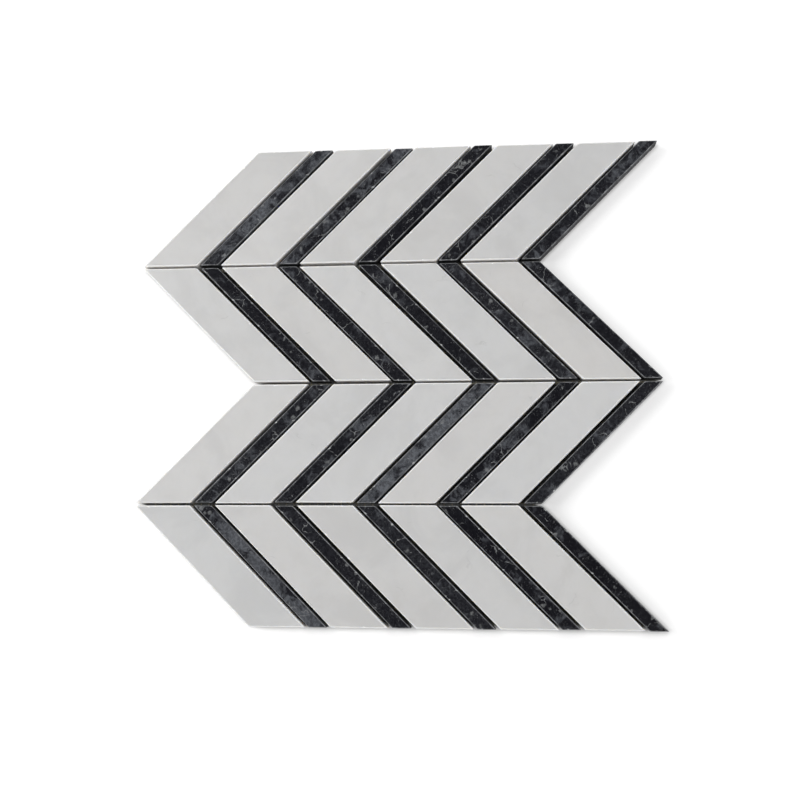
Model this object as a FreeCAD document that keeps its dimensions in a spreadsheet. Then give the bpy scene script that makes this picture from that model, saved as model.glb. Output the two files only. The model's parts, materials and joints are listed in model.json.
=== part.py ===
"""One sheet of chevron marble wall mosaic, face up.

Forty stone strips lie in four rows on an open net. Wide white strips and narrow black ones alternate
along each row, and the rows lean right and left in turn, so the strips meet in chevrons. X runs along
the rows, Y runs up the sheet from the bottom row to the top row, and Z comes out of the polished face.
The origin is on the net's underside, below the middle of the sheet.
"""
import FreeCAD, Part
import math
import os
import random

import Sketcher

Vector = FreeCAD.Vector

# Driving dimensions, in millimetres and degrees
DRIVING = {
    "row_count": 4,
    "pairs_per_row": 5,
    "mitre_angle": 45,
    "strip_rise": 74.6,
    "white_width": 25,
    "black_width": 8,
    "black_set_back": 0.15,
    "stone_thickness": 10,
    "arris_bevel": 0.6,
    "strip_joint": 1.7,
    "row_joint": 1.6,
    "lay_play": 0.28,
    "row_play": 0.15,
    "lay_turn": 0.15,
    "net_pitch": 5,
    "net_inset": 2.5,
    "yarn_width": 0.9,
    "yarn_crown": 0.6,
    "yarn_thickness": 0.25,
}
LAY_SEED = 11

# The run along a row from one white strip to the next, the run up from row to row, and the net's thickness
STRIP_PITCH = "(Sizes.white_width + Sizes.black_width + 2 * Sizes.strip_joint) / sin(Sizes.mitre_angle)"
ROW_PITCH = "(Sizes.strip_rise + Sizes.row_joint)"
NET_THICKNESS = "2 * Sizes.yarn_thickness"

# The two cuts of stone: width, rise from end to end, and place along the row from the middle of the pair
CUTS = {
    "white": {
        "width": "Sizes.white_width",
        "rise": "Sizes.strip_rise",
        "offset": "-(Sizes.black_width + Sizes.strip_joint) / 2 / sin(Sizes.mitre_angle)",
    },
    "black": {
        "width": "Sizes.black_width",
        "rise": "Sizes.strip_rise - 2 * Sizes.black_set_back",
        "offset": "(Sizes.white_width + Sizes.strip_joint) / 2 / sin(Sizes.mitre_angle)",
    },
}


def make_sizes(doc):
    """The spreadsheet that every sketch, feature and place is bound to."""
    sheet = doc.addObject("Spreadsheet::Sheet", "Sizes")
    for row, (alias, value) in enumerate(DRIVING.items(), start=1):
        sheet.set(f"A{row}", alias)
        sheet.set(f"B{row}", str(value))
        sheet.setAlias(f"B{row}", alias)
    doc.recompute()
    return sheet


def origin_plane(body, role):
    return next(plane for plane in body.Origin.OriginFeatures if plane.Role == role)


def strip_sketch(body, cut, leans_right):
    """A parallelogram about the body's origin: level ends a strip's rise apart, and slanted flanks."""
    slant = "Sizes.mitre_angle" if leans_right else "180 - Sizes.mitre_angle"
    angle = math.radians(body.evalExpression(slant))
    width = body.evalExpression(cut["width"])
    rise = body.evalExpression(cut["rise"])
    half_end = width / math.sin(angle) / 2
    shift = rise / 2 / math.tan(angle)
    corners = [
        Vector(-half_end - shift, -rise / 2, 0),
        Vector(half_end - shift, -rise / 2, 0),
        Vector(half_end + shift, rise / 2, 0),
        Vector(-half_end + shift, rise / 2, 0),
    ]
    sketch = body.newObject("Sketcher::SketchObject", f"{body.Name}_outline")
    sketch.AttachmentSupport = (origin_plane(body, "XY_Plane"), "")
    sketch.MapMode = "FlatFace"
    ends = zip(corners, corners[1:] + corners[:1])
    bottom, right, top, left = [sketch.addGeometry(Part.LineSegment(a, b), False) for a, b in ends]
    for line, following in ((bottom, right), (right, top), (top, left), (left, bottom)):
        sketch.addConstraint(Sketcher.Constraint("Coincident", line, 2, following, 1))
    sketch.addConstraint(Sketcher.Constraint("Symmetric", bottom, 1, top, 1, -1, 1))
    sketch.addConstraint(Sketcher.Constraint("Symmetric", bottom, 2, top, 2, -1, 1))
    sketch.addConstraint(Sketcher.Constraint("Horizontal", bottom))
    measures = {
        "rise": (("DistanceY", right, 1, right, 2, rise), cut["rise"]),
        "width": (("Distance", bottom, 2, left, width), cut["width"]),
        "slant": (("Angle", bottom, 1, left, 2, angle), slant),
    }
    for name, (constraint, expression) in measures.items():
        sketch.renameConstraint(sketch.addConstraint(Sketcher.Constraint(*constraint)), name)
        sketch.setExpression(f"Constraints.{name}", expression)
    return sketch


def stone_strip(doc, label, cut, leans_right):
    """A sawn strip with square flanks and a fine bevel round its polished face."""
    body = doc.addObject("PartDesign::Body", label)
    body.Label = label
    slab = body.newObject("PartDesign::Pad", f"{label}_slab")
    slab.Profile = strip_sketch(body, cut, leans_right)
    slab.setExpression("Length", "Sizes.stone_thickness")
    doc.recompute()
    half_height = slab.Length.Value / 2
    polished_edges = [
        f"Edge{number}"
        for number, edge in enumerate(slab.Shape.Edges, start=1)
        if min(vertex.Z for vertex in edge.Vertexes) > half_height
    ]
    bevel = body.newObject("PartDesign::Chamfer", f"{label}_bevel")
    bevel.Base = (slab, polished_edges)
    bevel.setExpression("Size", "Sizes.arris_bevel")
    body.Tip = bevel
    return body


def lay_strip(body, sizes, hand, row, pair, offset):
    """Place a strip in its row on the net, with the small play of a strip laid by hand."""
    from_middle = pair - (sizes.pairs_per_row - 1) / 2
    up = (sizes.row_count - 1) / 2 - row
    drift_along, drift_up, turn = (hand.uniform(-1, 1) for _ in range(3))
    along = f"{from_middle} * {STRIP_PITCH} + {offset} + {drift_along} * Sizes.lay_play * Sizes.strip_joint"
    body.setExpression("Placement.Base.x", along)
    body.setExpression("Placement.Base.y", f"{up} * {ROW_PITCH} + {drift_up} * Sizes.row_play * Sizes.row_joint")
    body.setExpression("Placement.Base.z", NET_THICKNESS)
    body.setExpression("Placement.Rotation.Angle", f"{turn} * Sizes.lay_turn")


def lay_stones(doc, sizes):
    hand = random.Random(LAY_SEED)
    stones = []
    for row in range(int(sizes.row_count)):
        leans_right = row % 2 == 0
        for pair in range(int(sizes.pairs_per_row)):
            for colour, cut in CUTS.items():
                stone = stone_strip(doc, f"{colour}_strip_row{row + 1}_{pair + 1}", cut, leans_right)
                lay_strip(stone, sizes, hand, row, pair, cut["offset"])
                stones.append(stone)
    return stones


def net_outline(sizes):
    """The zigzag outline of the laid stones, drawn in by the net's inset."""
    mitre = math.radians(sizes.mitre_angle)
    row_pitch = sizes.strip_rise + sizes.row_joint
    strip_pitch = (sizes.white_width + sizes.black_width + 2 * sizes.strip_joint) / math.sin(mitre)
    half_row = (sizes.pairs_per_row * strip_pitch - sizes.strip_joint / math.sin(mitre)) / 2
    half_shift = row_pitch / 2 / math.tan(mitre)
    rows = int(sizes.row_count)
    top = rows * row_pitch / 2
    zigzag = [(half_shift * (1 if joint % 2 == 0 else -1), top - joint * row_pitch) for joint in range(rows + 1)]
    right_side = [Vector(half_row + shift, height, 0) for shift, height in zigzag]
    left_side = [Vector(shift - half_row, height, 0) for shift, height in reversed(zigzag)]
    outline = Part.Face(Part.makePolygon(right_side + left_side + right_side[:1]))
    return outline.makeOffset2D(-sizes.net_inset, join=2)


def yarn(sizes, start, run, level):
    """One straight flattened yarn: six sides, with a flat crown above and below."""
    side = Vector(0, 0, 1).cross(run).normalize()
    half_width = side * (sizes.yarn_width / 2)
    half_crown = side * (sizes.yarn_crown / 2)
    low = start + Vector(0, 0, level)
    middle = low + Vector(0, 0, sizes.yarn_thickness / 2)
    high = low + Vector(0, 0, sizes.yarn_thickness)
    section = [low - half_crown, low + half_crown, middle + half_width, high + half_crown, high - half_crown]
    section.append(middle - half_width)
    return Part.Face(Part.makePolygon(section + section[:1])).extrude(run)


def net_layer(doc, sizes, label, direction, level):
    """All yarns of one direction, each cut to the stretches that lie inside the net's outline."""
    outline = net_outline(sizes)
    across = Vector(0, 0, 1).cross(direction)
    reach = outline.BoundBox.DiagonalLength
    steps = int(reach / sizes.net_pitch)
    yarns = []
    for step in range(-steps, steps + 1):
        middle = across * (step * sizes.net_pitch)
        line = Part.makeLine(middle - direction * reach, middle + direction * reach)
        for stretch in outline.common(line).Edges:
            start, end = (vertex.Point for vertex in stretch.Vertexes)
            if stretch.Length > sizes.net_pitch:
                yarns.append(yarn(sizes, start, end - start, level))
    layer = doc.addObject("Part::Feature", label)
    layer.Label = label
    layer.Shape = Part.makeCompound(yarns)
    layer.Placement = FreeCAD.Placement()
    return layer


def check(doc, pieces):
    """Stop before anything is written if a feature failed or a piece is not a sound solid."""
    for item in doc.Objects:
        if "Invalid" in item.State or "Error" in item.State:
            raise RuntimeError(f"{item.Name} did not build: {item.State}")
    for piece in pieces:
        if piece.Shape.isNull() or not piece.Shape.isValid() or piece.Shape.Volume <= 0:
            raise RuntimeError(f"{piece.Label} is not a sound solid")


def main():
    doc = FreeCAD.newDocument("ChevronMosaicSheet")
    sizes = make_sizes(doc)
    pieces = lay_stones(doc, sizes)
    pieces.append(net_layer(doc, sizes, "net_weft", Vector(1, 0, 0), 0))
    pieces.append(net_layer(doc, sizes, "net_warp", Vector(0, 1, 0), sizes.yarn_thickness))
    doc.recompute()
    check(doc, pieces)
    os.makedirs("parts", exist_ok=True)
    for piece in pieces:
        piece.Shape.exportStep(f"parts/{piece.Label}.step")


main()
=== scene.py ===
"""Looks of one sheet of chevron marble wall mosaic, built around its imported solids.

Every stone strip is cut again from the outline of its solid, with a rubbed and chipped arris and its own
place in the parent slab. The net becomes leno woven yarn, held to the stone by dabs of glue. Lengths are
in metres. X runs along the rows, Y up the sheet and Z out of the polished face.
"""

import json
import math
import random

import bpy
from bpy.props import FloatProperty, FloatVectorProperty, IntProperty, PointerProperty
from mathutils import Matrix, Vector

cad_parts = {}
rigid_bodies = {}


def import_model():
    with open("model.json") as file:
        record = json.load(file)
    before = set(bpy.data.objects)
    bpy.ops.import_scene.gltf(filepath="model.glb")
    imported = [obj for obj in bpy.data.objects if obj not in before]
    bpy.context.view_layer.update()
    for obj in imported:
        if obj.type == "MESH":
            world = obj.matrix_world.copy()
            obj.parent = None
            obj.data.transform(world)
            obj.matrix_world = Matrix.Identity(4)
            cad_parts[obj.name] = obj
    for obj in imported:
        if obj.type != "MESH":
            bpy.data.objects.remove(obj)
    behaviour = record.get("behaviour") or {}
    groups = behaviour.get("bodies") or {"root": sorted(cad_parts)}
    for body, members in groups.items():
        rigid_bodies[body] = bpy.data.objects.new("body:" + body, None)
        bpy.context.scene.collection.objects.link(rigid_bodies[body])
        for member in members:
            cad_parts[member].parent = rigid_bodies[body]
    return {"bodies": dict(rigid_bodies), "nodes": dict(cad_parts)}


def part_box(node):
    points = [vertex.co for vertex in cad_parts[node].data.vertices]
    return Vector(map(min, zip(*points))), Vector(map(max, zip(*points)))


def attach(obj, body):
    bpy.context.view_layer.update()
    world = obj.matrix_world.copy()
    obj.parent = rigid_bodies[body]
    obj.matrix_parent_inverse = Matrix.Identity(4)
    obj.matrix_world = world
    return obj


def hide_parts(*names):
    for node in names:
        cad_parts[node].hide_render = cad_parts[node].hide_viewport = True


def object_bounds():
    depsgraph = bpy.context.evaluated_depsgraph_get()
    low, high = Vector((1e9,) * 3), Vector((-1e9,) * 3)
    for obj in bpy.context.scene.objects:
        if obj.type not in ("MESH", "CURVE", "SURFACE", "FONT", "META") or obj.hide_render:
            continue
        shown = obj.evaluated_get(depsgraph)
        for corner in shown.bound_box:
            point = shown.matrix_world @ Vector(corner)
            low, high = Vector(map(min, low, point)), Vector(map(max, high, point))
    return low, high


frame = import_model()
for spare in set(bpy.data.objects) - set(frame["nodes"].values()) - set(frame["bodies"].values()):
    bpy.data.objects.remove(spare)
CAD_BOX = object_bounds()

bl_info = {
    "name": "Chevron wall tile",
    "version": (1, 0, 0),
    "blender": (4, 5, 0),
    "location": "View3D > Sidebar > Chevron tile",
    "description": "Marble strips, woven net, glue and studio for one sheet of chevron mosaic",
    "category": "Object",
}

MM = 0.001
NET_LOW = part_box("net_weft")[0].z
NET_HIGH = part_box("net_warp")[1].z
NET_MIDDLE = (NET_LOW + NET_HIGH) / 2

# The strips' solids are named by colour, row from the top and place in the row: black_strip_row1_1
WHITE_STRIPS = sorted(name for name in frame["nodes"] if name.startswith("white_strip"))
BLACK_STRIPS = sorted(name for name in frame["nodes"] if name.startswith("black_strip"))
ROWS = sorted({name.split("_")[2] for name in WHITE_STRIPS})
PLACES = sorted({name.split("_")[3] for name in WHITE_STRIPS})


# Sizes and colours that a user may change


def length(name, description, default):
    return FloatProperty(
        name=name, description=description, default=default, min=0, precision=5, unit="LENGTH"
    )


def number(name, description, default):
    return FloatProperty(name=name, description=description, default=default, min=0)


def share(name, description, default):
    return FloatProperty(name=name, description=description, default=default, min=0, max=1, subtype="FACTOR")


def seed(description, default):
    return IntProperty(name="Seed", description=description, default=default, min=0)


def colour(name, description, default):
    return FloatVectorProperty(
        name=name, description=description, default=default, min=0, max=1, size=3, subtype="COLOR"
    )


def direction(name, description, default):
    return FloatVectorProperty(name=name, description=description, default=default, subtype="DIRECTION")


def location(name, description, default):
    return FloatVectorProperty(name=name, description=description, default=default, subtype="TRANSLATION")


class StoneSettings(bpy.types.PropertyGroup):
    seed: seed("Changes every chip, every place in the slab and how pale each strip is", 5)
    white_bevel: length("White bevel", "Width of the honed bevel of a white strip", 0.62 * MM)
    black_bevel: length("Black bevel", "Width of the honed bevel of a black strip", 0.42 * MM)
    softening: length("Softening", "How far the two edges of the bevel are rubbed down", 0.08 * MM)
    tip_wear: length("Tip wear", "How far a sharp tip is worn back", 0.3 * MM)
    station_gap: length("Station gap", "Run between cross sections of an arris without chips", 3 * MM)
    chip_run: length("Chip run", "Half the run of a usual chip along the arris", 0.8 * MM)
    chip_bite: length("Chip bite", "Depth of the largest chip", 0.42 * MM)
    white_chips: number("White chips", "Chips per metre of white arris", 22)
    black_chips: number("Black chips", "Chips per metre of black arris", 42)


class MarbleColours(bpy.types.PropertyGroup):
    white: colour("White", "Polished face of the white marble", (0.630, 0.628, 0.624))
    white_cloud: colour("White cloud", "Faint clouds in the white marble", (0.574, 0.572, 0.569))
    white_mark: colour("White mark", "Small grey marks in the white marble", (0.42, 0.42, 0.41))
    # Partly painted highlight: the bevel is paler than honed stone alone, so that its thin line shows as
    # bright as light along the arris
    white_honed_highlight: colour("White honed", "Bevel of the white marble", (0.84, 0.84, 0.835))
    white_sawn: colour("White sawn", "Flanks and back of the white marble", (0.84, 0.82, 0.80))
    scatter: share("Scatter", "Share of the light that travels inside the white marble", 0.8)
    light_depth: length("Light depth", "How far light travels inside the white marble", 1.4 * MM)
    black: colour("Black", "Ground of the black marble", (0.0036, 0.0034, 0.0056))
    black_cloud: colour("Black cloud", "Blue grey clouds in the black marble", (0.125, 0.132, 0.147))
    calcite: colour("Calcite", "White flecks and veins in the black marble", (0.36, 0.37, 0.37))
    # Partly painted highlight: the bevel is paler than honed black stone alone, so that its thin line shows
    # as bright as light along the arris
    black_honed_highlight: colour("Black honed", "Bevel of the black marble", (0.245, 0.252, 0.265))
    black_sawn: colour("Black sawn", "Flanks and back of the black marble", (0.018, 0.018, 0.019))
    # Partly painted shade: besides glue and dust, this dark foot of every flank darkens the joints
    stain_and_shade: colour("Stain and shade", "Glue and dust that crept up the flanks from the net", (0.116, 0.100, 0.090))


class NetSettings(bpy.types.PropertyGroup):
    pitch: length("Pitch", "Run from one yarn to the next", 5 * MM)
    step: length("Step", "Run between cross sections of a warp end", 1.25 * MM)
    weft_width: length("Weft width", "Width of a flat weft yarn", 0.9 * MM)
    weft_thickness: length("Weft thickness", "Thickness of a flat weft yarn", 0.15 * MM)
    warp_width: length("Warp width", "Width of one end of a warp pair", 0.42 * MM)
    warp_thickness: length("Warp thickness", "Thickness of one end of a warp pair", 0.15 * MM)
    swing: length("Swing", "How far a warp end swings to each side of its pair", 0.24 * MM)
    lift: length("Lift", "How far a warp end climbs over or dives under the weft", 0.15 * MM)
    wander: length("Wander", "How far a yarn strays from its straight line", 0.35 * MM)
    # Partly painted shade: the fibre is kept darker than pale glass fibre, which darkens the joints
    fibre: colour("Fibre", "Sized glass fibre", (0.34, 0.32, 0.24))
    fibre_shade: colour("Fibre shade", "Darker stretches where the size lies thick", (0.13, 0.11, 0.07))


class GlueSettings(bpy.types.PropertyGroup):
    seed: seed("Changes the places of the dabs", 3)
    spacing: length("Spacing", "Least run between two dabs", 9 * MM)
    radius: length("Radius", "Radius of a large dab", 4.6 * MM)
    cover: length("Cover", "Least inset of a dab's middle from a joint", 2.8 * MM)
    rim: length("Rim", "Least inset of a dab's middle from the sheet's own edge", 6.2 * MM)
    # Partly painted shade: the glue is kept dark, which darkens the joints
    colour: colour("Colour", "Dried glue", (0.30, 0.265, 0.19))


class StudioSettings(bpy.types.PropertyGroup):
    floor_size: length("Floor size", "Side of the square floor", 6.0)
    floor: share("Floor", "Paleness of the floor as it lights the sheet", 0.75)
    # Painted shade: the floor under the sheet is dark, which darkens the joints seen down to it
    floor_shade_below: share("Floor below", "Paleness of the floor that the sheet covers", 0.15)
    backdrop_lift: share("Backdrop lift", "How far the floor beside the sheet is lifted to white", 0.3)
    sky_low: number("Low sky", "Radiance of the sky below its dim cap", 1.11)
    sky_cap: number("Sky cap", "Radiance straight overhead", 0.04)
    key_power: number("Key power", "Power of the soft key lamp, in watts", 9.6)
    key_size: length("Key size", "Side of the square key lamp", 0.8)
    key_place: location("Key place", "Where the key hangs, facing the sheet", (-1.0, 0.28, 0.94))
    fill_power: number("Fill power", "Power of the fill lamp, in watts", 12.0)
    fill_size: length("Fill size", "Side of the square fill lamp", 0.6)
    fill_place: location("Fill place", "Where the fill hangs, facing the sheet", (1.0, -0.1, 1.73))
    lens: number("Lens", "Focal length on a 36 mm sensor, in millimetres", 51.3)
    camera_place: location("Camera place", "Where the camera stands", (0.07523, -0.09861, 0.71269))
    camera_view: direction("Camera view", "Direction that it looks in", (-0.10159, 0.12260, -0.98724))
    camera_up: direction("Camera up", "Direction that is up in the picture", (0.00787, 0.99244, 0.12244))


class ChevronTileSettings(bpy.types.PropertyGroup):
    stone: PointerProperty(type=StoneSettings)
    marble: PointerProperty(type=MarbleColours)
    net: PointerProperty(type=NetSettings)
    glue: PointerProperty(type=GlueSettings)
    studio: PointerProperty(type=StudioSettings)


# Node trees


def place(tree, kind, values=None, **settings):
    """Add a node. Settings are its own properties, and values its inputs, as numbers or as other sockets."""
    made = tree.nodes.new(kind)
    for name, value in settings.items():
        setattr(made, name, value)
    for key, value in (values or {}).items():
        if isinstance(value, bpy.types.NodeSocket):
            tree.links.new(value, made.inputs[key])
        else:
            made.inputs[key].default_value = value
    return made


def reckon(tree, operation, first, second=0.0):
    return place(tree, "ShaderNodeMath", {0: first, 1: second}, operation=operation).outputs[0]


def reckon_vector(tree, operation, first, second):
    made = place(tree, "ShaderNodeVectorMath", {0: first, 1: second}, operation=operation)
    return made.outputs["Value" if operation == "DOT_PRODUCT" else "Vector"]


def times(tree, first, second):
    return reckon(tree, "MULTIPLY", first, second)


def plus(tree, first, second):
    return reckon(tree, "ADD", first, second)


def scaled(tree, vector, factor):
    values = {0: vector, "Scale": factor}
    return place(tree, "ShaderNodeVectorMath", values, operation="SCALE").outputs["Vector"]


def ramped(tree, value, low, high, start=0.0, end=1.0):
    """Take a value smoothly from start to end while it runs from low to high."""
    values = {0: value, 1: low, 2: high, 3: start, 4: end}
    return place(tree, "ShaderNodeMapRange", values, interpolation_type="SMOOTHSTEP").outputs[0]


def blended(tree, factor, first, second, blend_type="MIX"):
    """Mix two colours."""
    values = {0: factor, 6: opaque(first), 7: opaque(second)}
    return place(tree, "ShaderNodeMix", values, data_type="RGBA", blend_type=blend_type).outputs[2]


def opaque(value):
    return value if isinstance(value, bpy.types.NodeSocket) else (*value[:3], 1.0)


def noise(tree, vector, scale, detail, roughness=0.5, distortion=0.0):
    values = {
        "Vector": vector, "Scale": scale, "Detail": detail, "Roughness": roughness, "Distortion": distortion
    }
    return place(tree, "ShaderNodeTexNoise", values).outputs[0]


def bent(tree, vector, scale, reach):
    """Bend a vector's field, so that a pattern on it wavers by up to the reach."""
    bend = place(tree, "ShaderNodeTexNoise", {"Vector": vector, "Scale": scale, "Detail": 4.0})
    return reckon_vector(tree, "ADD", vector, scaled(tree, bend.outputs["Color"], reach))


def on_sheet(tree):
    """The place on the sheet, in metres."""
    return place(tree, "ShaderNodeTexCoord").outputs["Object"]


def facing_up(tree):
    """How far a face points up: 1 for the polished face, 0 for a flank and -1 for the back."""
    normal = place(tree, "ShaderNodeTexCoord").outputs["Normal"]
    return reckon_vector(tree, "DOT_PRODUCT", normal, (0, 0, 1))


def new_group(name, kind, inputs, outputs):
    """An empty node group with typed inputs and outputs, and its two end nodes."""
    tree = bpy.data.node_groups.new(name, kind)
    for in_out, sockets in (("INPUT", inputs), ("OUTPUT", outputs)):
        for label, socket_type in sockets.items():
            tree.interface.new_socket(label, in_out=in_out, socket_type=f"NodeSocket{socket_type}")
    return tree, tree.nodes.new("NodeGroupInput").outputs, tree.nodes.new("NodeGroupOutput").inputs


def attribute(tree, name, output="Fac"):
    return place(tree, "ShaderNodeAttribute", attribute_name=name).outputs[output]


# Shared shader groups


def cloud_group():
    """Drifting clouds: a mask from folded noise, cut between two levels."""
    levels = dict.fromkeys(("Scale", "Detail", "Fold", "Low", "High"), "Float")
    inputs = {"Vector": "Vector", **levels}
    tree, given, out = new_group("Stone clouds", "ShaderNodeTree", inputs, {"Mask": "Float"})
    cloud = noise(tree, given["Vector"], given["Scale"], given["Detail"], 0.62, given["Fold"])
    tree.links.new(ramped(tree, cloud, given["Low"], given["High"]), out["Mask"])
    return tree


def vein_group():
    """Thin broken veins: the edges of bent cells, which fork as cracks do, kept in patches only."""
    inputs = {"Vector": "Vector", "Scale": "Float", "Width": "Float", "Patches": "Float"}
    tree, given, out = new_group("Broken veins", "ShaderNodeTree", inputs, {"Mask": "Float"})
    cells = {"Vector": bent(tree, given["Vector"], 190.0, 6 * MM), "Scale": given["Scale"]}
    off_line = place(tree, "ShaderNodeTexVoronoi", cells, feature="DISTANCE_TO_EDGE").outputs["Distance"]
    line = ramped(tree, off_line, 0.0, given["Width"], 1.0, 0.0)
    elsewhere = reckon_vector(tree, "ADD", given["Vector"], (3.1, 1.7, 0.4))
    patch = noise(tree, elsewhere, times(tree, given["Scale"], 1.9), 2.0)
    kept = ramped(tree, patch, given["Patches"], plus(tree, given["Patches"], 0.07))
    tree.links.new(times(tree, line, kept), out["Mask"])
    return tree


def fleck_group():
    """Ragged flecks: the crests of a streaked noise, kept in some regions only."""
    inputs = {"Vector": "Vector", "Scale": "Float", "Low": "Float", "High": "Float"}
    tree, given, out = new_group("Crystal flecks", "ShaderNodeTree", inputs, {"Mask": "Float"})
    streaked = reckon_vector(tree, "MULTIPLY", given["Vector"], (1.0, 2.2, 1.5))
    crest = noise(tree, streaked, given["Scale"], 3.0, 0.65, 0.8)
    fleck = ramped(tree, crest, given["Low"], given["High"])
    region = noise(tree, given["Vector"], times(tree, given["Scale"], 0.15), 3.0)
    kept = ramped(tree, region, 0.40, 0.58)
    tree.links.new(times(tree, fleck, kept), out["Mask"])
    return tree


def blotch_group():
    """Angular grains of a paler mineral: a few cells of a bent cell pattern, each with a ragged rim."""
    inputs = {"Vector": "Vector", "Scale": "Float", "Share": "Float"}
    tree, given, out = new_group("Pale grains", "ShaderNodeTree", inputs, {"Mask": "Float"})
    field = {"Vector": bent(tree, given["Vector"], 420.0, 3.5 * MM), "Scale": given["Scale"]}
    cells = place(tree, "ShaderNodeTexVoronoi", field)
    pick = place(tree, "ShaderNodeSeparateColor", {0: cells.outputs["Color"]}).outputs[0]
    chosen = reckon(tree, "LESS_THAN", pick, given["Share"])
    ragged = ramped(tree, cells.outputs["Distance"], 0.25, 0.55, 1.0, 0.0)
    tree.links.new(times(tree, chosen, ragged), out["Mask"])
    return tree


def finish_group():
    """Which finish a face has, from the way it faces: polished top, honed bevel, or sawn flank and back."""
    outputs = {"Honed": "Float", "Sawn": "Float"}
    tree, _, out = new_group("Stone finishes", "ShaderNodeTree", {}, outputs)
    facing = facing_up(tree)
    sawn = ramped(tree, facing, 0.1, 0.3, 1.0, 0.0)
    not_polished = ramped(tree, facing, 0.93, 0.985, 1.0, 0.0)
    tree.links.new(reckon(tree, "SUBTRACT", not_polished, sawn), out["Honed"])
    tree.links.new(sawn, out["Sawn"])
    return tree


def sawn_group():
    """Saw marks along a flank or across the back, and a darker foot near the net: partly glue stain, partly
    painted shade in the joints.
    """
    inputs = {"Vector": "Vector", "Net level": "Float"}
    outputs = {"Height": "Float", "Tone": "Float", "Stain and shade": "Float"}
    tree, given, out = new_group("Sawn faces", "ShaderNodeTree", inputs, outputs)
    stretched = reckon_vector(tree, "MULTIPLY", given["Vector"], (60, 60, 1900))
    flank_marks = noise(tree, stretched, 1.0, 4.0, 0.6)
    across = reckon_vector(tree, "MULTIPLY", given["Vector"], (1500, 90, 90))
    back_marks = noise(tree, across, 1.0, 3.0, 0.6)
    marks = plus(tree, flank_marks, times(tree, back_marks, 0.6))
    tree.links.new(marks, out["Height"])
    tone = plus(tree, noise(tree, given["Vector"], 130.0, 4.0, 0.6), times(tree, marks, 0.4))
    tree.links.new(ramped(tree, tone, 0.55, 1.15), out["Tone"])
    sheet = on_sheet(tree)
    level = place(tree, "ShaderNodeSeparateXYZ", {0: sheet}).outputs[2]
    climb = times(tree, noise(tree, sheet, 120.0, 4.0, 0.6), 5.5 * MM)
    above = reckon(tree, "SUBTRACT", reckon(tree, "SUBTRACT", level, given["Net level"]), climb)
    # Darker near the net: glue stain, and painted shade at the foot of the joints
    low_down = ramped(tree, above, -3.2 * MM, 0.6 * MM, 1.0, 0.0)
    less_on_back = ramped(tree, facing_up(tree), -0.9, -0.5, 0.2, 0.85)
    tree.links.new(times(tree, low_down, less_on_back), out["Stain and shade"])
    return tree


def grain_group():
    """Fine crystal grain and the slight waviness that polishing leaves."""
    outputs = {"Grain": "Float", "Wave": "Float"}
    tree, given, out = new_group("Crystal grain", "ShaderNodeTree", {"Vector": "Vector"}, outputs)
    tree.links.new(noise(tree, given["Vector"], 2600.0, 2.0, 0.6), out["Grain"])
    tree.links.new(noise(tree, given["Vector"], 70.0, 2.0), out["Wave"])
    return tree


GROUP_MAKERS = {
    "Stone clouds": cloud_group,
    "Broken veins": vein_group,
    "Crystal flecks": fleck_group,
    "Pale grains": blotch_group,
    "Stone finishes": finish_group,
    "Sawn faces": sawn_group,
    "Crystal grain": grain_group,
}


def use_group(tree, name, values=None):
    """Place a shared group, which is built when it is first asked for."""
    group = bpy.data.node_groups.get(name) or GROUP_MAKERS[name]()
    return place(tree, "ShaderNodeGroup", values, node_tree=group).outputs


def pattern(tree, name, slab, **values):
    """The mask of a shared pattern that runs through the slab."""
    return use_group(tree, name, {"Vector": slab, **values})["Mask"]


# Materials


def new_material(name, ior, specular):
    material = bpy.data.materials.new(name)
    material.use_nodes = True
    surface = material.node_tree.nodes["Principled BSDF"]
    surface.inputs["IOR"].default_value = ior
    surface.inputs["Specular IOR Level"].default_value = specular
    return material, material.node_tree, surface.inputs


def bumped(tree, *layers):
    """Stack bump nodes: each layer is a height, its depth in metres and its strength."""
    normal = None
    for height, depth, strength in layers:
        values = {"Height": height, "Distance": depth, "Strength": strength}
        if normal:
            values["Normal"] = normal
        normal = place(tree, "ShaderNodeBump", values).outputs["Normal"]
    return normal


def finish_stone(tree, surface, slab, polished, honed, patchiness, sawn, stain_and_shade, chip, polish):
    """What both marbles share: honed bevels with a painted highlight, sawn flanks, chips, stain with painted
    shade in the joints, roughness and relief.
    """
    finish = use_group(tree, "Stone finishes")
    saw = use_group(tree, "Sawn faces", {"Vector": slab, "Net level": NET_HIGH})
    grain = use_group(tree, "Crystal grain", {"Vector": slab})
    chipped = attribute(tree, "chip")
    rubbed = ramped(tree, noise(tree, slab, 210.0, 6.0, 0.7), 0.38, 0.66)
    # The bevel colour is partly painted highlight along the arris
    bevel = blended(tree, rubbed, scaled_colour(honed, 1 - patchiness), honed)
    face = blended(tree, times(tree, finish["Honed"], 0.95), polished, bevel)
    face = blended(tree, ramped(tree, chipped, 0.1, 0.6), face, chip)
    dull = blended(tree, 1.0, sawn, ramped(tree, saw["Tone"], 0.0, 1.0, 0.85, 1.0), "MULTIPLY")
    dull = blended(tree, saw["Stain and shade"], dull, stain_and_shade)
    tree.links.new(blended(tree, finish["Sawn"], face, dull), surface["Base Color"])
    rough = ramped(tree, grain["Grain"], 0.3, 0.7, polish, polish + 0.1)
    for mask, rise in ((finish["Honed"], 0.3), (finish["Sawn"], 0.5), (chipped, 0.25)):
        rough = plus(tree, rough, times(tree, mask, rise))
    tree.links.new(rough, surface["Roughness"])
    unpolished = plus(tree, finish["Honed"], finish["Sawn"])
    relief = bumped(
        tree,
        (grain["Wave"], 0.4 * MM, 0.08),
        (times(tree, grain["Grain"], unpolished), 0.08 * MM, 0.5),
        (times(tree, saw["Height"], finish["Sawn"]), 0.2 * MM, 0.6),
    )
    tree.links.new(relief, surface["Normal"])


def scaled_colour(value, factor):
    return tuple(channel * factor for channel in value)


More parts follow.
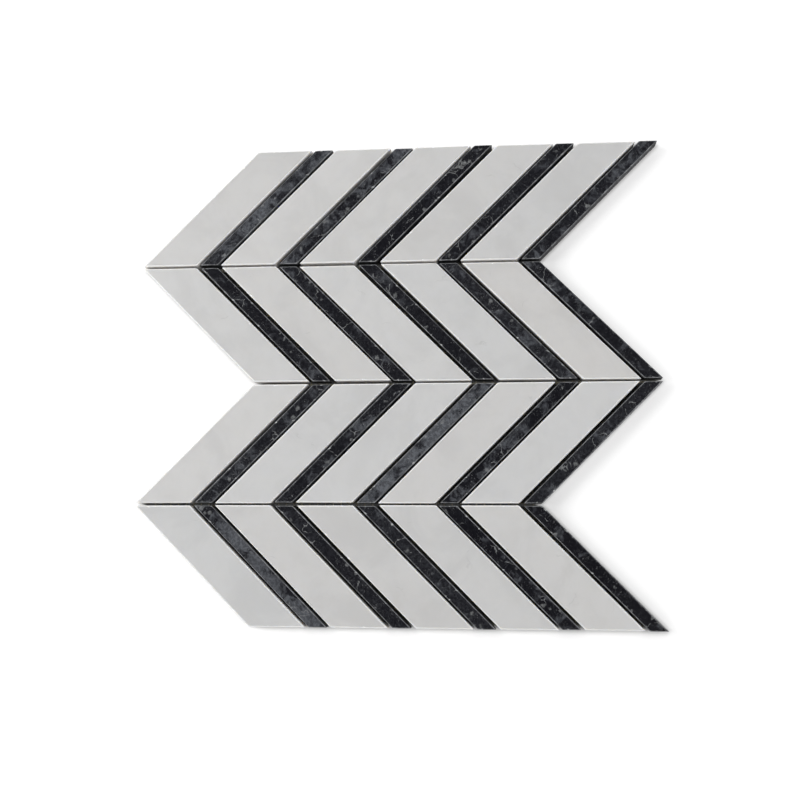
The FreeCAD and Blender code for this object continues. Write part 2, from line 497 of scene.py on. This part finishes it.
def white_marble(colours):
    material, tree, surface = new_material("White marble", 1.5, 0.5)
    surface["Subsurface Weight"].default_value = colours.scatter
    surface["Subsurface Scale"].default_value = colours.light_depth
    surface["Subsurface Radius"].default_value = (1.0, 0.95, 0.85)
    slab = attribute(tree, "slab", "Vector")
    clouds = pattern(tree, "Stone clouds", slab, Scale=24.0, Detail=4.0, Fold=0.8, Low=0.42, High=0.66)
    mottle = pattern(tree, "Stone clouds", slab, Scale=120.0, Detail=5.0, Fold=0.3, Low=0.4, High=0.7)
    mark = pattern(tree, "Broken veins", slab, Scale=40.0, Width=0.016, Patches=0.62)
    face = blended(tree, times(tree, clouds, 0.7), colours.white, colours.white_cloud)
    face = blended(tree, times(tree, mottle, 0.25), face, colours.white_cloud)
    face = blended(tree, times(tree, mark, 0.3), face, colours.white_mark)
    face = blended(tree, 1.0, face, attribute(tree, "tint", "Color"), "MULTIPLY")
    finish_stone(
        tree, surface, slab, face, colours.white_honed_highlight, 0.06, colours.white_sawn, colours.stain_and_shade,
        colours.white_honed_highlight, 0.16,
    )
    return material


def black_marble(colours):
    material, tree, surface = new_material("Black marble", 1.5, 0.5)
    slab = attribute(tree, "slab", "Vector")
    drift = ramped(tree, noise(tree, slab, 34.0, 2.0), 0.35, 0.65, -0.2, 0.2)
    # Paleness raises the clouds and the haze of a strip; on row1_1, row1_2 and row4_1 it is painted
    # reflection on the polished face
    paleness = plus(tree, attribute(tree, "paleness"), drift)
    low = reckon(tree, "SUBTRACT", 0.58, times(tree, paleness, 0.21))
    high = plus(tree, low, 0.15)
    clouds = pattern(tree, "Stone clouds", slab, Scale=130.0, Detail=9.0, Fold=0.7, Low=low, High=high)
    mottle = pattern(tree, "Stone clouds", slab, Scale=560.0, Detail=5.0, Fold=0.3, Low=0.40, High=0.62)
    speck = pattern(tree, "Crystal flecks", slab, Scale=800.0, Low=0.60, High=0.67)
    grain = pattern(tree, "Pale grains", slab, Scale=310.0, Share=0.06)
    vein = pattern(tree, "Broken veins", slab, Scale=55.0, Width=0.016, Patches=0.54)
    texture = plus(tree, 0.60, times(tree, mottle, 0.60))
    depth = times(tree, plus(tree, 0.25, times(tree, paleness, 0.42)), texture)
    face = blended(tree, times(tree, clouds, depth), colours.black, colours.black_cloud)
    # The paleness adds to the haze as well: painted reflection on those strips
    fog = plus(tree, attribute(tree, "haze"), times(tree, paleness, 0.08))
    haze = times(tree, fog, plus(tree, 0.35, times(tree, mottle, 0.65)))
    face = blended(tree, haze, face, colours.black_cloud)
    crystals = ((speck, 0.32), (times(tree, grain, texture), 0.34), (times(tree, vein, texture), 0.55))
    for mask, strength in crystals:
        face = blended(tree, times(tree, mask, strength), face, colours.calcite)
    bright_break = scaled_colour(colours.calcite, 1.2)
    sawn = blended(tree, 0.6, colours.black_sawn, face)
    finish_stone(
        tree, surface, slab, face, colours.black_honed_highlight, 0.72, sawn, colours.stain_and_shade, bright_break, 0.10
    )
    return material


def glass_fibre(name, settings, along):
    """Sized glass fibre: fine filaments along the yarn, and darker stretches where the size lies thick. Its
    colour is kept dark: partly the sized fibre's own tone, partly painted shade in the joints where it shows.
    """
    material, tree, surface = new_material(name, 1.5, 0.5)
    sheet = on_sheet(tree)
    fine, drawn_out = 9000, 200
    squeeze = Vector((fine, fine, fine)) - (fine - drawn_out) * Vector(along)
    filaments = noise(tree, reckon_vector(tree, "MULTIPLY", sheet, squeeze), 1.0, 2.0)
    soaked = ramped(tree, noise(tree, sheet, 90.0, 3.0), 0.4, 0.65)
    tone = times(tree, soaked, 0.7)
    tone = plus(tree, tone, ramped(tree, filaments, 0.4, 0.7, 0.0, 0.3))
    tree.links.new(blended(tree, tone, settings.fibre, settings.fibre_shade), surface["Base Color"])
    tree.links.new(ramped(tree, soaked, 0.0, 1.0, 0.6, 0.35), surface["Roughness"])
    tree.links.new(bumped(tree, (filaments, 0.06 * MM, 0.8)), surface["Normal"])
    return material


def dried_glue(settings):
    material, tree, surface = new_material("Dried glue", 1.47, 0.5)
    sheet = on_sheet(tree)
    depth = ramped(tree, noise(tree, sheet, 160.0, 4.0, 0.6), 0.35, 0.7)
    thick = scaled_colour(settings.colour, 0.55)
    tree.links.new(blended(tree, depth, thick, settings.colour), surface["Base Color"])
    tree.links.new(ramped(tree, depth, 0.0, 1.0, 0.25, 0.5), surface["Roughness"])
    ripple = noise(tree, sheet, 900.0, 3.0)
    tree.links.new(bumped(tree, (ripple, 0.2 * MM, 0.4)), surface["Normal"])
    return material


# Stone strips

# Points of a solid that are nearer in height than this are on one level
SAME_LEVEL = 0.01 * MM

# Least runs along an arris: from a corner to its first cross section, from a corner to the ones after it,
# from a corner to a chip, beyond half the chip's own run, and between two chips
CORNER_RUN = 0.5 * MM
PLAIN_RUN = 0.7 * MM
CHIP_CLEARANCE = 1 * MM
CHIP_GAP = 0.2 * MM

# Depth of a chip at places along it, steep on one side and shallow on the other
CHIP_SHAPE = ((-1.0, 0.0), (-0.62, 0.55), (-0.25, 0.95), (0.12, 1.0), (0.5, 0.7), (0.8, 0.3), (1.0, 0.0))

# Widths of the flat bands below and inside a bevel, which keep its smooth shading off the flank and the face
FLANK_BAND = 0.7 * MM
FACE_BAND = 0.6 * MM

# How strongly each ring shows a chip, from the underside up to the polished face
RING_CHIP = (0.0, 0.0, 0.6, 1.0, 1.0, 0.5, 0.0)

# A strip's sharp tips, cut at 45 degrees
SHARP_TIP = math.radians(45)

# The palest black strips, and how strongly clouds show in each; the others get from 0.05 to 0.5. For row1_1,
# row1_2 and row4_1 this paleness is painted reflection of a bright sky on the polished face; row3_3 is paler
# stone.
PALE_AND_SHEENED_STRIPS = {"row1_1": 0.9, "row1_2": 0.7, "row3_3": 1.1, "row4_1": 0.9}


def strip_outline(name):
    """The four corners of a strip's underside, counterclockwise, and its lowest and highest levels."""
    low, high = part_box(name)
    points = {tuple(round(value, 7) for value in vertex.co) for vertex in frame["nodes"][name].data.vertices}
    corners = [Vector(point) for point in points if point[2] - low.z < SAME_LEVEL]
    middle = sum(corners, Vector()) / len(corners)
    corners.sort(key=lambda corner: math.atan2(corner.y - middle.y, corner.x - middle.x))
    return corners, low.z, high.z


def inset_corner(corners, index, insets):
    """A corner of the outline after each side has moved inwards by its own inset."""
    before, here, after = (corners[(index + turn) % 4] for turn in (-1, 0, 1))
    first, second = (Vector((-side.y, side.x, 0)).normalized() for side in (here - before, after - here))
    deep, next_deep = insets[index - 1], insets[index % 4]
    lean = first.dot(second)
    return here + (first * (deep - lean * next_deep) + second * (next_deep - lean * deep)) / (1 - lean * lean)


def arris_stations(corners, stone, chips_per_metre, hand):
    """Cross sections round a strip, as (side, share of the side, chip from 0 to 1, corner or not)."""
    stations = []
    for side, start in enumerate(corners):
        run = (corners[(side + 1) % len(corners)] - start).length
        chips = []
        for _ in range(max(1, round(run * chips_per_metre))):
            half = stone.chip_run * hand.uniform(0.35, 1.3)
            middle = hand.uniform(2 * half + CHIP_CLEARANCE, run - 2 * half - CHIP_CLEARANCE)
            if all(abs(middle - other) > half + reach + CHIP_GAP for other, reach, _ in chips):
                # The power makes most chips shallow and a few deep
                chips.append((middle, half, hand.uniform(0.2, 1.0) ** 1.7))
        gaps = round(run / stone.station_gap)
        marks = [(run * step / gaps, 0.0) for step in range(1, gaps)]
        marks = [mark for mark in marks if all(abs(mark[0] - middle) > half for middle, half, _ in chips)]
        for middle, half, bite in chips:
            for along, deep in CHIP_SHAPE:
                marks.append((middle + half * along, bite * deep * hand.uniform(0.75, 1.0)))
        marks = [mark for mark in sorted(marks) if PLAIN_RUN < mark[0] < run - PLAIN_RUN]
        marks = [(CORNER_RUN, 0.0), *marks, (run - CORNER_RUN, 0.0)]
        stations.append((side, 0.0, hand.uniform(0, 0.5), True))
        stations += [(side, at / run, bite, False) for at, bite in marks]
    return stations


def arris_profile(bevel, soft, bite):
    """Insets and drops of the rings from the flank up to the polished face, at one cross section."""
    slant = soft * math.sqrt(0.5)
    below = bevel + soft + 0.7 * bite
    inside = bevel + soft + bite
    return (
        (0.0, below + FLANK_BAND),
        (0.0, below),
        (slant + 0.25 * bite, bevel - slant + 0.75 * bite),
        (bevel - slant + 0.8 * bite, slant + 0.35 * bite),
        (inside, 0.0),
        (inside + FACE_BAND, 0.0),
    )


def cut_stone(node, stone, bevel, chips_per_metre, hand):
    """Cut one strip from the outline of its solid: sawn flanks, a chipped bevel and a polished face."""
    corners, low, high = strip_outline(node)
    stations = arris_stations(corners, stone, chips_per_metre, hand)
    count = len(stations)
    drift = [hand.uniform(0, math.tau) for _ in range(2)]
    rings = [[] for _ in RING_CHIP]
    for index, (side, part, bite, corner) in enumerate(stations):
        turn = index / count * math.tau
        # The width of a honed bevel wavers as it goes round the strip
        wide = 1.04 + 0.07 * math.sin(3 * turn + drift[0]) + 0.05 * math.sin(7 * turn + drift[1])
        worn = stone.tip_wear * math.sin(SHARP_TIP / 2) if corner else 0.0
        profile = arris_profile(bevel * wide, stone.softening, bite * stone.chip_bite)
        insets = [(worn, high - low)] + [(inset + worn, drop) for inset, drop in profile]
        for ring, (inset, drop) in zip(rings, insets):
            start, end = (inset_corner(corners, (side + step) % 4, [inset] * 4) for step in (0, 1))
            point = start.lerp(end, part)
            ring.append((point.x, point.y, high - drop))
    points = [point for ring in rings for point in ring]
    top = len(points) - count
    faces = [tuple(reversed(range(count)))]
    for base in range(0, top, count):
        for index in range(count):
            after = (index + 1) % count
            faces.append((base + index, base + after, base + count + after, base + count + index))
    faces.append(tuple(range(top, len(points))))
    name = node.replace("strip", "marble")
    mesh = bpy.data.meshes.new(name)
    mesh.from_pydata(points, [], faces)
    mesh.shade_smooth()
    ridges = {index for index, station in enumerate(stations) if station[3]}
    for edge in mesh.edges:
        first, second = edge.vertices
        along_bottom = first < count and second < count
        up_a_corner = first % count == second % count and first % count in ridges
        edge.use_edge_sharp = along_bottom or up_a_corner
    chip_values = [station[2] * weight for weight in RING_CHIP for station in stations]
    paint(mesh, "chip", "FLOAT", chip_values)
    paint(mesh, "slab", "FLOAT_VECTOR", in_slab(points, corners, hand))
    return link_piece(name, mesh)


def in_slab(points, corners, hand):
    """Where each point of a strip lay in the parent slab, flattened into one list."""
    middle = sum(corners, Vector()) / len(corners)
    turn = Matrix.Rotation(hand.uniform(0, math.tau), 3, "Z")
    origin = Vector([hand.uniform(-0.9, 0.9) for _ in range(3)])
    return [value for point in points for value in turn @ (Vector(point) - middle) + origin]


def paint(mesh, name, kind, values):
    """Store one value for each point of a mesh."""
    field = {"FLOAT": "value", "FLOAT_VECTOR": "vector", "FLOAT_COLOR": "color"}[kind]
    mesh.attributes.new(name, kind, "POINT").data.foreach_set(field, values)


def paint_all(mesh, name, kind, *value):
    """Store the same value for all points of a mesh."""
    paint(mesh, name, kind, value * len(mesh.vertices))


def link_piece(name, data):
    piece = bpy.data.objects.new(name, data)
    bpy.context.scene.collection.objects.link(piece)
    return piece


def settle(piece, slot, *nodes):
    """Make a piece part of the sheet: its body, and the solids that it stands for. The slot is not used."""
    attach(piece, "root")
    if nodes:
        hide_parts(*nodes)


class CHEVRON_OT_white_strips(bpy.types.Operator):
    """Cut the wide strips of white marble from the outlines of their solids"""

    bl_idname = "chevron.white_strips"
    bl_label = "White strips"

    def execute(self, context):
        stone = context.scene.chevron_tile.stone
        material = white_marble(context.scene.chevron_tile.marble)
        for node in WHITE_STRIPS:
            hand = random.Random(f"{stone.seed} {node}")
            piece = cut_stone(node, stone, stone.white_bevel, stone.white_chips, hand)
            warmth, light = hand.uniform(-0.006, 0.010), hand.uniform(-0.014, 0.014)
            tint = (1 + light + warmth, 1 + light, 1 + light - warmth, 1)
            paint_all(piece.data, "tint", "FLOAT_COLOR", *tint)
            piece.data.materials.append(material)
            settle(piece, "white_marble", node)
        return {"FINISHED"}


class CHEVRON_OT_black_strips(bpy.types.Operator):
    """Cut the narrow strips of black marble from the outlines of their solids"""

    bl_idname = "chevron.black_strips"
    bl_label = "Black strips"

    def execute(self, context):
        stone = context.scene.chevron_tile.stone
        material = black_marble(context.scene.chevron_tile.marble)
        for node in BLACK_STRIPS:
            hand = random.Random(f"{stone.seed} {node}")
            piece = cut_stone(node, stone, stone.black_bevel, stone.black_chips, hand)
            usual_paleness, haze = hand.uniform(0.05, 0.5), hand.uniform(0, 0.15)
            # Listed strips take their paleness from the table: painted reflection for row1_1, row1_2 and
            # row4_1
            paleness = PALE_AND_SHEENED_STRIPS.get(node.removeprefix("black_strip_"), usual_paleness)
            paint_all(piece.data, "paleness", "FLOAT", paleness)
            paint_all(piece.data, "haze", "FLOAT", haze)
            piece.data.materials.append(material)
            settle(piece, "black_marble", node)
        return {"FINISHED"}


# Net and glue

# Whole steps along a yarn keep at least this share of a step from both of its ends
END_SHARE = 0.3

# How much thinner a dab of glue is than the net
DAB_SLACK = 0.02 * MM


def yarn_stretches(node, axis):
    """The line and both ends of every yarn in a net layer, from the boxes of its separate bars."""
    mesh = frame["nodes"][node].data
    parent = {}

    def root(key):
        while parent[key] != key:
            key = parent[key]
        return key

    keys = [tuple(round(value, 6) for value in vertex.co) for vertex in mesh.vertices]
    for key in keys:
        parent.setdefault(key, key)
    for polygon in mesh.polygons:
        first, *others = (root(keys[index]) for index in polygon.vertices)
        for other in others:
            parent[root(other)] = root(first)
    bars = {}
    for key in parent:
        bars.setdefault(root(key), []).append(key)
    stretches = []
    for points in sorted(bars.values()):
        line = 1 - axis
        across = (min(point[line] for point in points) + max(point[line] for point in points)) / 2
        along = [point[axis] for point in points]
        stretches.append((across, min(along), max(along)))
    return sorted(stretches)


def yarn_guides(node, axis, step):
    """One open line for each yarn, with a point at every step so that warp and weft cross in time."""
    points, edges = [], []
    for across, start, end in yarn_stretches(node, axis):
        steps = range(math.ceil(start / step + END_SHARE), math.floor(end / step - END_SHARE) + 1)
        runs = [start, *(count * step for count in steps), end]
        for index, run in enumerate(runs):
            points.append((across, run, NET_MIDDLE) if axis else (run, across, NET_MIDDLE))
            if index:
                edges.append((len(points) - 2, len(points) - 1))
    guide = bpy.data.meshes.new(node)
    guide.from_pydata(points, edges, [])
    return guide


def yarn_tree():
    """Turn guide lines into yarn: one flat yarn, or a leno pair whose ends cross between the wefts."""
    inputs = {
        "Guides": "Geometry", "Ends": "Int", "Direction": "Vector", "Pitch": "Float", "Swing": "Float",
        "Lift": "Float", "Wander": "Float", "Width": "Float", "Thickness": "Float", "Sides": "Int",
        "Seed": "Float", "Finish": "Material",
    }
    tree, given, out = new_group("Woven yarn", "GeometryNodeTree", inputs, {"Yarn": "Geometry"})
    lines = place(tree, "GeometryNodeMeshToCurve", {"Mesh": given["Guides"]}).outputs[0]
    ends = place(tree, "GeometryNodeDuplicateElements", {0: lines, "Amount": given["Ends"]}, domain="SPLINE")
    hand = reckon(tree, "SUBTRACT", 1.0, times(tree, ends.outputs[1], 2.0))
    here = place(tree, "GeometryNodeInputPosition").outputs[0]
    along = reckon_vector(tree, "DOT_PRODUCT", here, given["Direction"])
    phase = times(tree, reckon(tree, "DIVIDE", along, given["Pitch"]), math.pi)
    swing = times(tree, reckon(tree, "COSINE", phase), given["Swing"])
    climb = reckon(tree, "COSINE", times(tree, phase, 2.0))
    lift = times(tree, times(tree, climb, given["Lift"]), hand)
    field = {"Vector": here, "W": given["Seed"], "Scale": 26.0, "Detail": 2.0}
    drift = place(tree, "ShaderNodeTexNoise", field, noise_dimensions="4D").outputs[0]
    stray = times(tree, reckon(tree, "SUBTRACT", drift, 0.5), times(tree, given["Wander"], 3.0))
    sideways = reckon_vector(tree, "CROSS_PRODUCT", (0, 0, 1), given["Direction"])
    aside = plus(tree, times(tree, swing, hand), stray)
    up = place(tree, "ShaderNodeCombineXYZ", {2: lift}).outputs[0]
    offset = reckon_vector(tree, "ADD", scaled(tree, sideways, aside), up)
    woven = place(tree, "GeometryNodeSetPosition", {0: ends.outputs[0], "Offset": offset}).outputs[0]
    level = place(tree, "GeometryNodeSetCurveNormal", {0: woven}, mode="Z_UP").outputs[0]
    circle = {"Resolution": given["Sides"], "Radius": 0.5}
    ring = place(tree, "GeometryNodeCurvePrimitiveCircle", circle).outputs[0]
    flat = place(tree, "ShaderNodeCombineXYZ", {0: given["Width"], 1: given["Thickness"], 2: 1.0}).outputs[0]
    section = place(tree, "GeometryNodeTransform", {0: ring, "Scale": flat}).outputs[0]
    body = place(tree, "GeometryNodeCurveToMesh", {0: level, 1: section, "Fill Caps": True}).outputs[0]
    smooth = place(tree, "GeometryNodeSetShadeSmooth", {0: body}).outputs[0]
    finish_tree(tree, smooth, given["Finish"], out["Yarn"])
    return tree


def dab_tree():
    """Scatter low dabs of glue, each with its own size, turn and uneven rim."""
    inputs = {
        "Ground": "Geometry", "Spacing": "Float", "Radius": "Float", "Height": "Float", "Seed": "Int",
        "Finish": "Material",
    }
    tree, given, out = new_group("Glue dabs", "GeometryNodeTree", inputs, {"Dabs": "Geometry"})
    spread = {
        0: given["Ground"], "Distance Min": given["Spacing"], "Density Max": 60000.0, "Seed": given["Seed"]
    }
    scatter = place(tree, "GeometryNodeDistributePointsOnFaces", spread, distribute_method="POISSON")
    drop = place(tree, "GeometryNodeMeshIcoSphere", {"Radius": 1.0, "Subdivisions": 2}).outputs[0]
    sizes = {2: 0.55, 3: 1.0, "Seed": given["Seed"]}
    size = place(tree, "FunctionNodeRandomValue", sizes, data_type="FLOAT").outputs[1]
    wide = times(tree, size, given["Radius"])
    extents = {0: wide, 1: times(tree, wide, 0.75), 2: times(tree, given["Height"], 0.5)}
    scale = place(tree, "ShaderNodeCombineXYZ", extents).outputs[0]
    turns = {0: (0, 0, 0), 1: (0, 0, math.tau), "Seed": given["Seed"]}
    turn = place(tree, "FunctionNodeRandomValue", turns, data_type="FLOAT_VECTOR").outputs[0]
    drops = {0: scatter.outputs[0], "Instance": drop, "Rotation": turn, "Scale": scale}
    dabs = place(tree, "GeometryNodeInstanceOnPoints", drops).outputs[0]
    plain = place(tree, "GeometryNodeRealizeInstances", {0: dabs}).outputs[0]
    here = place(tree, "GeometryNodeInputPosition").outputs[0]
    drift = place(tree, "ShaderNodeTexNoise", {"Vector": here, "Scale": 300.0, "Detail": 2.0})
    push = reckon_vector(tree, "SUBTRACT", drift.outputs["Color"], (0.5, 0.5, 0.5))
    shove = reckon_vector(tree, "MULTIPLY", push, (4 * MM, 4 * MM, 0))
    uneven = place(tree, "GeometryNodeSetPosition", {0: plain, "Offset": shove}).outputs[0]
    smooth = place(tree, "GeometryNodeSetShadeSmooth", {0: uneven}).outputs[0]
    finish_tree(tree, smooth, given["Finish"], out["Dabs"])
    return tree


def finish_tree(tree, geometry, finish, result):
    """End a tree as the export needs it: realized, and with its material set."""
    plain = place(tree, "GeometryNodeRealizeInstances", {0: geometry}).outputs[0]
    done = place(tree, "GeometryNodeSetMaterial", {0: plain, "Material": finish}).outputs[0]
    tree.links.new(done, result)


def grow(name, guide, tree, values):
    """Run a geometry tree on a guide mesh and keep the result as a plain mesh."""
    piece = link_piece(name, guide)
    maker = piece.modifiers.new(tree.name, "NODES")
    maker.node_group = tree
    for item in tree.interface.items_tree:
        if item.in_out == "INPUT" and item.name in values:
            maker[item.identifier] = values[item.name]
    depsgraph = bpy.context.evaluated_depsgraph_get()
    mesh = bpy.data.meshes.new_from_object(piece.evaluated_get(depsgraph), depsgraph=depsgraph)
    piece.modifiers.remove(maker)
    piece.data = mesh
    mesh.name = name
    return piece


def sheet_rim(node):
    """For the bottom, right, top and left sides of a strip: whether it lies on the sheet's own edge."""
    marble, _, row, place_in_row = node.split("_")
    return (
        row == ROWS[-1],
        marble == "black" and place_in_row == PLACES[-1],
        row == ROWS[0],
        marble == "white" and place_in_row == PLACES[0],
    )


class CHEVRON_OT_net(bpy.types.Operator):
    """Weave the glass fibre net: flat weft yarns held between the crossing ends of warp pairs"""

    bl_idname = "chevron.net"
    bl_label = "Net"

    def execute(self, context):
        net = context.scene.chevron_tile.net
        tree = yarn_tree()
        weft = {
            "Ends": 1, "Direction": (1, 0, 0), "Pitch": net.pitch, "Swing": 0.0, "Lift": 0.0, "Seed": 1.0,
            "Wander": net.wander, "Width": net.weft_width, "Thickness": net.weft_thickness, "Sides": 6,
            "Finish": glass_fibre("Glass fibre weft", net, (1, 0, 0)),
        }
        warp = {
            "Ends": 2, "Direction": (0, 1, 0), "Pitch": net.pitch, "Swing": net.swing, "Lift": net.lift,
            "Wander": net.wander, "Width": net.warp_width, "Thickness": net.warp_thickness, "Sides": 4,
            "Seed": 7.0, "Finish": glass_fibre("Glass fibre warp", net, (0, 1, 0)),
        }
        layers = (("net_weft", 0, net.pitch / 2, weft), ("net_warp", 1, net.step, warp))
        for node, axis, step, values in layers:
            piece = grow(node.replace("net", "yarn"), yarn_guides(node, axis, step), tree, values)
            settle(piece, "glass_fibre_net", node)
        return {"FINISHED"}


class CHEVRON_OT_glue(bpy.types.Operator):
    """Put the dabs of glue that hold the strips to the net"""

    bl_idname = "chevron.glue"
    bl_label = "Glue dabs"

    def execute(self, context):
        glue = context.scene.chevron_tile.glue
        points, faces = [], []
        for node in BLACK_STRIPS + WHITE_STRIPS:
            corners, _, _ = strip_outline(node)
            faces.append(tuple(range(len(points), len(points) + 4)))
            insets = [glue.rim if side else glue.cover for side in sheet_rim(node)]
            points += [(*inset_corner(corners, index, insets).to_2d(), NET_MIDDLE) for index in range(4)]
        ground = bpy.data.meshes.new("glue_ground")
        ground.from_pydata(points, [], faces)
        values = {
            "Spacing": glue.spacing, "Radius": glue.radius, "Height": NET_HIGH - NET_LOW - DAB_SLACK,
            "Seed": glue.seed, "Finish": dried_glue(glue),
        }
        settle(grow("glue_dabs", ground, dab_tree(), values), "glass_fibre_net")
        return {"FINISHED"}


# Studio


def beside_sheet(tree):
    """How far a place on the floor lies outside the zigzag outline of the sheet; negative below the sheet."""
    low, high = (Vector(corner) for corner in CAD_BOX)
    rise = (high.y - low.y) / len(ROWS)
    half_row = (high.x - low.x - rise) / 2
    across, up, _ = place(tree, "ShaderNodeSeparateXYZ", {0: on_sheet(tree)}).outputs
    fold = reckon(tree, "PINGPONG", reckon(tree, "SUBTRACT", high.y, up), rise)
    along_row = plus(tree, across, reckon(tree, "SUBTRACT", fold, rise / 2))
    past_side = reckon(tree, "SUBTRACT", reckon(tree, "ABSOLUTE", along_row), half_row)
    past_end = reckon(tree, "SUBTRACT", reckon(tree, "ABSOLUTE", up), high.y)
    return reckon(tree, "MAXIMUM", past_side, past_end)


def floor_material(paleness, below, lift):
    """White to the camera with a pale shadow, and a little darker as it lights the sheet. Where the sheet
    covers it, the floor is painted dark: painted shade seen through the joints.
    """
    material, tree, surface = new_material("Studio floor", 1.45, 0.0)
    seen = place(tree, "ShaderNodeLightPath").outputs["Is Camera Ray"]
    shade = blended(tree, seen, (paleness,) * 3, (1 - lift / 2,) * 3)
    beside = beside_sheet(tree)
    from_below = place(tree, "ShaderNodeNewGeometry").outputs["Backfacing"]
    # Painted shade: the floor takes the dark colour under the sheet and on its underside
    shade_under_sheet = reckon(tree, "MAXIMUM", ramped(tree, beside, -4 * MM, 0.0), from_below)
    tree.links.new(blended(tree, shade_under_sheet, (below,) * 3, shade), surface["Base Color"])
    surface["Roughness"].default_value = 1.0
    outside = reckon(tree, "MAXIMUM", ramped(tree, beside, 0.0, 4 * MM), from_below)
    surface["Emission Color"].default_value = (1, 1, 1, 1)
    farther = ramped(tree, beside, 0.3, 1.6, lift, 0.9)
    lifted = times(tree, times(tree, seen, outside), farther)
    tree.links.new(lifted, surface["Emission Strength"])
    return material


def studio_world(studio):
    """A plain sky, dim straight overhead so that polished stone stays dark, and white to the camera."""
    world = bpy.data.worlds.new("Studio")
    world.use_nodes = True
    tree = world.node_tree
    tree.nodes.clear()
    outwards = place(tree, "ShaderNodeTexCoord").outputs["Generated"]
    height = place(tree, "ShaderNodeSeparateXYZ", {0: outwards}).outputs[2]
    radiance = ramped(tree, height, 0.50, 0.80, studio.sky_low, studio.sky_cap)
    sky = place(tree, "ShaderNodeBackground", {"Color": (1, 1, 1, 1), "Strength": radiance})
    white = place(tree, "ShaderNodeBackground", {"Color": (1, 1, 1, 1), "Strength": 1.0})
    seen = place(tree, "ShaderNodeLightPath").outputs["Is Camera Ray"]
    both = place(tree, "ShaderNodeMixShader", {0: seen, 1: sky.outputs[0], 2: white.outputs[0]})
    place(tree, "ShaderNodeOutputWorld", {"Surface": both.outputs[0]})
    return world


def hang_lamp(name, power, size, where):
    """Hang a square lamp that faces the middle of the sheet."""
    light = bpy.data.lights.new(name, "AREA")
    light.energy = power
    light.size = size
    lamp = link_piece(name, light)
    lamp.location = where
    lamp.rotation_euler = Vector(where).to_track_quat("Z", "Y").to_euler()


class CHEVRON_OT_studio(bpy.types.Operator):
    """Set up the floor, the sky, both lamps and the camera"""

    bl_idname = "chevron.studio"
    bl_label = "Studio"

    def execute(self, context):
        studio = context.scene.chevron_tile.studio
        scene = context.scene
        half = studio.floor_size / 2
        mesh = bpy.data.meshes.new("floor")
        sides = ((-half, -half), (half, -half), (half, half), (-half, half))
        mesh.from_pydata([(*side, NET_LOW) for side in sides], [], [(0, 1, 2, 3)])
        mesh.materials.append(floor_material(studio.floor, studio.floor_shade_below, studio.backdrop_lift))
        link_piece("floor", mesh)
        scene.world = studio_world(studio)
        hang_lamp("key", studio.key_power, studio.key_size, studio.key_place)
        hang_lamp("fill", studio.fill_power, studio.fill_size, studio.fill_place)
        eye = bpy.data.cameras.new("camera")
        eye.sensor_width = 36
        eye.lens = studio.lens
        eye.clip_start = 0.01
        camera = link_piece("camera", eye)
        back = -Vector(studio.camera_view).normalized()
        right = Vector(studio.camera_up).cross(back).normalized()
        turned = Matrix((right, back.cross(right), back)).transposed().to_4x4()
        camera.matrix_world = Matrix.Translation(studio.camera_place) @ turned
        scene.camera = camera
        scene.view_settings.view_transform = "Standard"
        return {"FINISHED"}


# Panel and start

OPERATORS = (
    CHEVRON_OT_studio,
    CHEVRON_OT_white_strips,
    CHEVRON_OT_black_strips,
    CHEVRON_OT_net,
    CHEVRON_OT_glue,
)


class CHEVRON_PT_panel(bpy.types.Panel):
    """Lists the makers of the tile's pieces and their sizes and colours"""

    bl_idname = "CHEVRON_PT_panel"
    bl_label = "Chevron wall tile"
    bl_space_type = "VIEW_3D"
    bl_region_type = "UI"
    bl_category = "Chevron tile"

    def draw(self, context):
        settings = context.scene.chevron_tile
        for operator in OPERATORS:
            self.layout.operator(operator.bl_idname)
        for group in (settings.stone, settings.marble, settings.net, settings.glue, settings.studio):
            box = self.layout.box()
            for name in group.__annotations__:
                box.prop(group, name)


CLASSES = (
    StoneSettings, MarbleColours, NetSettings, GlueSettings, StudioSettings, ChevronTileSettings,
    *OPERATORS, CHEVRON_PT_panel,
)


def register():
    for cls in CLASSES:
        bpy.utils.register_class(cls)
    bpy.types.Scene.chevron_tile = PointerProperty(type=ChevronTileSettings)


def unregister():
    del bpy.types.Scene.chevron_tile
    for cls in reversed(CLASSES):
        bpy.utils.unregister_class(cls)


def main():
    register()
    bpy.ops.chevron.studio()
    bpy.ops.chevron.white_strips()
    bpy.ops.chevron.black_strips()
    bpy.ops.chevron.net()
    bpy.ops.chevron.glue()


if __name__ == "__main__":
    main()
